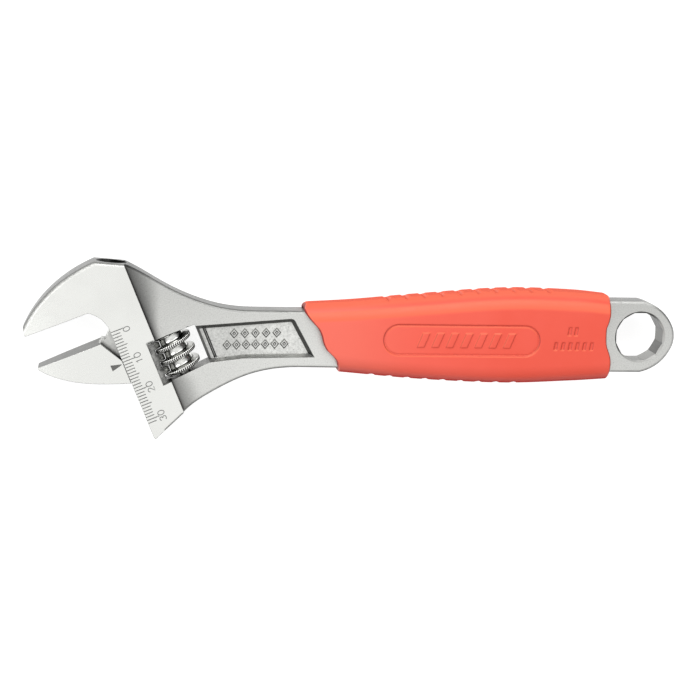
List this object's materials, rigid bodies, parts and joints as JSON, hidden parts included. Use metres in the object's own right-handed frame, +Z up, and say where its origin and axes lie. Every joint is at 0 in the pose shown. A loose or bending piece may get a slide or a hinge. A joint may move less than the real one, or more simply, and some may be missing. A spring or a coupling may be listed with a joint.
{
  "type": "adjustable wrench",
  "caption": "Adjustable wrench with a worm-driven sliding jaw, a millimetre opening scale, a ring end with a twelve-sided hole and a soft ribbed handle sleeve.",
  "frame": {"origin": "centre of the bounding box, at its lowest level: the wrench lies on its back with the sleeve on Z = 0", "axes": "+X along the handle towards the ring end, +Y across the handle towards the fixed jaw's side, +Z up out of the face with the scale"},
  "size_m": [0.2078, 0.0556, 0.0176],
  "materials": {
    "forged_steel": "satin chrome with polished faces on the head",
    "jaw_steel": "polished faces",
    "worm_chrome": "bright chrome",
    "pin_steel": "turned steel",
    "spring_steel": "drawn wire",
    "sleeve_rubber": "soft satin"
  },
  "bodies": {
    "root": {"wrench_body": "forged_steel", "worm_pin": "pin_steel", "worm_spring": "spring_steel", "handle_grip": "sleeve_rubber"},
    "jaw": {"moving_jaw": "jaw_steel"},
    "screw": {"worm": "worm_chrome"}
  },
  "joints": [
    {"name": "jaw_slide", "type": "slide", "parent": "root", "child": "jaw", "axis": [0.3827, -0.9239, 0], "range_m": [-0.01045, 0.0195]},
    {"name": "worm_turn", "type": "hinge", "parent": "root", "child": "screw", "pos_m": [-0.05642, -0.00072, 0.0088], "axis": [-0.3827, 0.9239, 0], "range_deg": [-940, 1740]}
  ],
  "couplings": [
    {"joint": "worm_turn", "follows": "jaw_slide", "rad_per_m": 1532.5}
  ]
}
